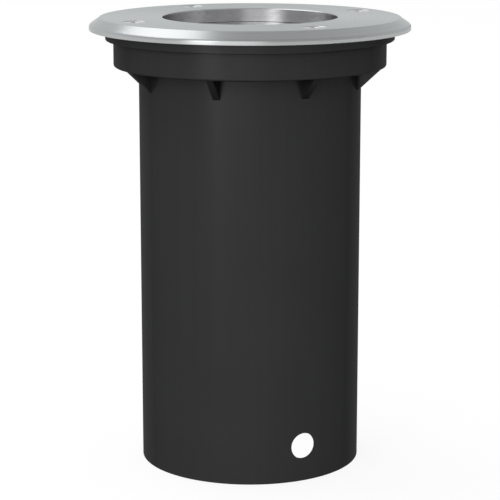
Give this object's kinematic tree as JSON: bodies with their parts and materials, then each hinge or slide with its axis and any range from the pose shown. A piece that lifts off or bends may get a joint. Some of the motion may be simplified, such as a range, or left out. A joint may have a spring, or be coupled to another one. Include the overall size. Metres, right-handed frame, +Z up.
{
  "type": "in-ground light",
  "caption": "Round in-ground light: bevelled steel cover ring and glass over a sealed pot with a twist-lock lamp, in a black sleeve with a cable hole.",
  "frame": {"origin": "centre of the sleeve's bottom rim", "axes": "+Z up along the light's axis to the cover ring; -Y out through the cable hole; +X completes a right-handed frame"},
  "size_m": [0.11, 0.11, 0.155],
  "materials": {
    "sleeve_plastic": "black moulded plastic, satin",
    "pot_plastic": "black moulded plastic, satin",
    "ring_steel": "stainless steel, brushed round the ring",
    "screw_steel": "stainless steel, bright",
    "insert_brass": "turned brass",
    "clear_glass": "clear tempered glass",
    "gasket_silicone": "black silicone",
    "lamp_white": "white moulded plastic",
    "lens_clear": "clear lens",
    "board_white": "white solder mask on a metal core",
    "chip_phosphor": "yellow phosphor",
    "pin_nickel": "nickel plate",
    "holder_ceramic": "pale heat-resistant moulding",
    "contact_bronze": "spring bronze",
    "bracket_zinc": "zinc-plated sheet steel",
    "fixing_zinc": "zinc-plated steel",
    "block_nylon": "natural nylon",
    "clamp_brass": "brass",
    "lead_silicone": "white silicone",
    "earth_sleeving": "green and yellow sheath",
    "tag_tin": "tinned brass",
    "gland_nylon": "dark grey nylon",
    "gland_rubber": "black rubber"
  },
  "bodies": {
    "sleeve": {"mounting_sleeve": "sleeve_plastic", "threaded_inserts": "insert_brass"},
    "luminaire": {"lamp_pot": "pot_plastic", "lamp_holder": "holder_ceramic", "holder_contacts": "contact_bronze", "holder_screws": "fixing_zinc", "holder_nuts": "fixing_zinc", "holder_bracket": "bracket_zinc", "bracket_screws": "fixing_zinc", "terminal_block": "block_nylon", "terminal_tubes": "clamp_brass", "terminal_screws": "fixing_zinc", "terminal_fixing_screws": "fixing_zinc", "lamp_leads": "lead_silicone", "earth_tag": "tag_tin", "earth_lead": "earth_sleeving", "gland_body": "gland_nylon", "gland_washer": "gland_rubber", "gland_locknut": "gland_nylon", "gland_seal": "gland_rubber", "gland_cap": "gland_nylon"},
    "cover": {"cover_ring": "ring_steel", "cover_screws": "screw_steel", "glass_lens": "clear_glass", "glass_gasket": "gasket_silicone"},
    "lamp": {"lamp_body": "lamp_white", "lamp_lens": "lens_clear", "led_board": "board_white", "led_chips": "chip_phosphor", "lamp_pins": "pin_nickel"}
  },
  "joints": [
    {"name": "luminaire_lift", "type": "slide", "parent": "sleeve", "child": "luminaire", "axis": [0, 0, 1], "range_m": [0, 0.125]},
    {"name": "cover_lift", "type": "slide", "parent": "luminaire", "child": "cover", "axis": [0, 0, 1], "range_m": [0, 0.04]},
    {"name": "lamp_twist", "type": "hinge", "parent": "luminaire", "child": "lamp", "pos_m": [0, 0, 0.0885], "axis": [0, 0, 1], "range_deg": [0, 30]}
  ]
}
